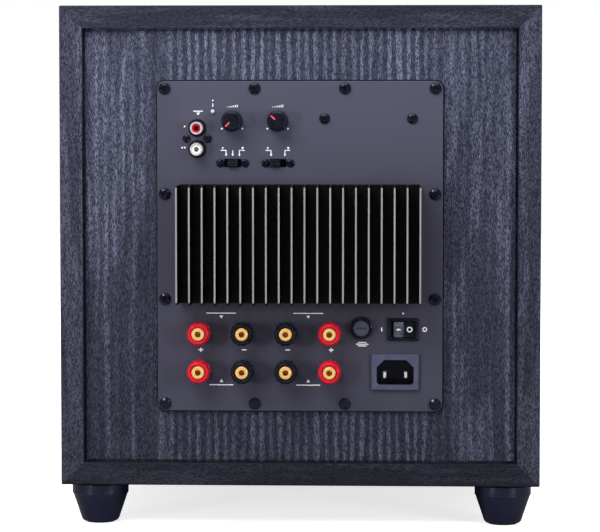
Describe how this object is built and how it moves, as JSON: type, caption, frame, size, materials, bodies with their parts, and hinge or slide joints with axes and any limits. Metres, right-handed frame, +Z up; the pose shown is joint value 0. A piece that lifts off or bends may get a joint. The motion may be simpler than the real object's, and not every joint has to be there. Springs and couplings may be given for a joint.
{
  "type": "powered subwoofer",
  "caption": "Square powered subwoofer with a plate amplifier, heat sink and binding posts on the back, a woofer behind a pull-off grille, and turned feet.",
  "frame": {"origin": "on the floor, under the middle of the whole object's box", "axes": "+Z up; -Y is the front, with the grille; +Y is the back, with the amplifier; +X is to the right as seen from the front"},
  "size_m": [0.32, 0.3746, 0.348],
  "materials": {
    "black_ash": "satin black-ash foil with a fine grey grain",
    "black_plastic": "fine texture",
    "board_black": "painted board",
    "board_green": "solder mask",
    "cone_paper": "coated paper",
    "copper": "enamelled wire",
    "ferrite": "ground",
    "fibre": "phenolic",
    "foam": "closed-cell",
    "foot_black": "gloss",
    "glass": "clear",
    "gloss_black": "gloss",
    "gloss_red": "gloss",
    "gold": "gold plated",
    "grey_plastic": "satin",
    "grille_cloth": "stretched knit",
    "lead_red": "insulation",
    "led_clear": "clear lens",
    "nickel": "bright",
    "plate_black": "black powder coat",
    "rubber_black": "matt",
    "screw_black": "black zinc",
    "sink_black": "black anodised",
    "spider_cloth": "resin-dipped cotton",
    "steel": "zinc plated",
    "white_plastic": "gloss"
  },
  "bodies": {
    "cabinet": {"amp_gasket": "foam", "amp_plate": "plate_black", "back_panel": "black_ash", "cabinet_bottom": "black_ash", "cabinet_screws": "screw_black", "cabinet_sides": "black_ash", "cabinet_top": "black_ash", "capacitors": "black_plastic", "circuit_boards": "board_green", "control_screws": "screw_black", "feet": "foot_black", "foot_pads": "rubber_black", "front_baffle": "board_black", "fuse_holder": "gloss_black", "grille_sockets": "black_plastic", "heat_sink": "sink_black", "inlet_body": "grey_plastic", "inlet_pins": "nickel", "plate_screws": "screw_black", "port_tube": "black_plastic", "post_bushes": "gloss_black", "post_studs": "gold", "potentiometers": "steel", "power_led": "led_clear", "power_switch_body": "gloss_black", "rca_insulators": "white_plastic", "rca_jack_block": "black_plastic", "rca_shells": "nickel", "slide_switch_bodies": "black_plastic", "speaker_leads": "lead_red", "transformer_core": "steel", "transformer_winding": "copper", "woofer_basket": "screw_black", "woofer_gasket": "foam", "woofer_magnet": "ferrite", "woofer_motor_steel": "steel", "woofer_spider": "spider_cloth", "woofer_surround": "rubber_black", "woofer_terminals": "fibre"},
    "grille": {"grille_frame": "board_black", "grille_cloth": "grille_cloth", "grille_pegs": "black_plastic"},
    "cone": {"woofer_cone": "cone_paper", "dust_cap": "cone_paper", "voice_coil": "copper"},
    "volume_knob": {"volume_knob": "black_plastic"},
    "crossover_knob": {"crossover_knob": "black_plastic"},
    "auto_switch": {"auto_switch_slider": "black_plastic"},
    "phase_switch": {"phase_switch_slider": "black_plastic"},
    "rocker": {"power_rocker": "gloss_black"},
    "fuse_carrier": {"fuse": "glass"},
    "fuse_cap": {"fuse_cap": "grey_plastic"},
    "red_post_nut_1": {"red_post_nut_1": "gloss_red"},
    "black_post_nut_1": {"black_post_nut_1": "gloss_black"},
    "black_post_nut_2": {"black_post_nut_2": "gloss_black"},
    "red_post_nut_2": {"red_post_nut_2": "gloss_red"},
    "red_post_nut_3": {"red_post_nut_3": "gloss_red"},
    "black_post_nut_3": {"black_post_nut_3": "gloss_black"},
    "black_post_nut_4": {"black_post_nut_4": "gloss_black"},
    "red_post_nut_4": {"red_post_nut_4": "gloss_red"}
  },
  "joints": [
    {"name": "grille_pull", "type": "slide", "parent": "cabinet", "child": "grille", "axis": [0, -1, 0], "range_m": [0, 0.04]},
    {"name": "cone_travel", "type": "slide", "parent": "cabinet", "child": "cone", "axis": [0, -1, 0], "range_m": [-0.006, 0.006], "stiffness_N_per_m": 2100, "deforming": ["woofer_surround", "woofer_spider"]},
    {"name": "volume_turn", "type": "hinge", "parent": "cabinet", "child": "volume_knob", "pos_m": [0.045, 0.1653, 0.2715], "axis": [0, -1, 0], "range_deg": [0, 270]},
    {"name": "crossover_turn", "type": "hinge", "parent": "cabinet", "child": "crossover_knob", "pos_m": [0.0147, 0.1653, 0.2715], "axis": [0, -1, 0], "range_deg": [-87, 183]},
    {"name": "auto_slide", "type": "slide", "parent": "cabinet", "child": "auto_switch", "axis": [1, 0, 0], "range_m": [-0.0022, 0.0022]},
    {"name": "phase_slide", "type": "slide", "parent": "cabinet", "child": "phase_switch", "axis": [-1, 0, 0], "range_m": [0, 0.0044]},
    {"name": "power_rock", "type": "hinge", "parent": "cabinet", "child": "rocker", "pos_m": [-0.0688, 0.1563, 0.133], "axis": [0, 0, -1], "range_deg": [0, 20]},
    {"name": "fuse_pull", "type": "slide", "parent": "cabinet", "child": "fuse_carrier", "axis": [0, 1, 0], "range_m": [0, 0.04]},
    {"name": "fuse_cap_turn", "type": "hinge", "parent": "fuse_carrier", "child": "fuse_cap", "pos_m": [-0.0411, 0.1573, 0.134], "axis": [0, 1, 0], "range_deg": [0, 90]},
    {"name": "red_post_nut_1_loosen", "type": "slide", "parent": "cabinet", "child": "red_post_nut_1", "axis": [0, 1, 0], "range_m": [0, 0.0045]},
    {"name": "black_post_nut_1_loosen", "type": "slide", "parent": "cabinet", "child": "black_post_nut_1", "axis": [0, 1, 0], "range_m": [0, 0.0045]},
    {"name": "black_post_nut_2_loosen", "type": "slide", "parent": "cabinet", "child": "black_post_nut_2", "axis": [0, 1, 0], "range_m": [0, 0.0045]},
    {"name": "red_post_nut_2_loosen", "type": "slide", "parent": "cabinet", "child": "red_post_nut_2", "axis": [0, 1, 0], "range_m": [0, 0.0045]},
    {"name": "red_post_nut_3_loosen", "type": "slide", "parent": "cabinet", "child": "red_post_nut_3", "axis": [0, 1, 0], "range_m": [0, 0.0045]},
    {"name": "black_post_nut_3_loosen", "type": "slide", "parent": "cabinet", "child": "black_post_nut_3", "axis": [0, 1, 0], "range_m": [0, 0.0045]},
    {"name": "black_post_nut_4_loosen", "type": "slide", "parent": "cabinet", "child": "black_post_nut_4", "axis": [0, 1, 0], "range_m": [0, 0.0045]},
    {"name": "red_post_nut_4_loosen", "type": "slide", "parent": "cabinet", "child": "red_post_nut_4", "axis": [0, 1, 0], "range_m": [0, 0.0045]}
  ]
}
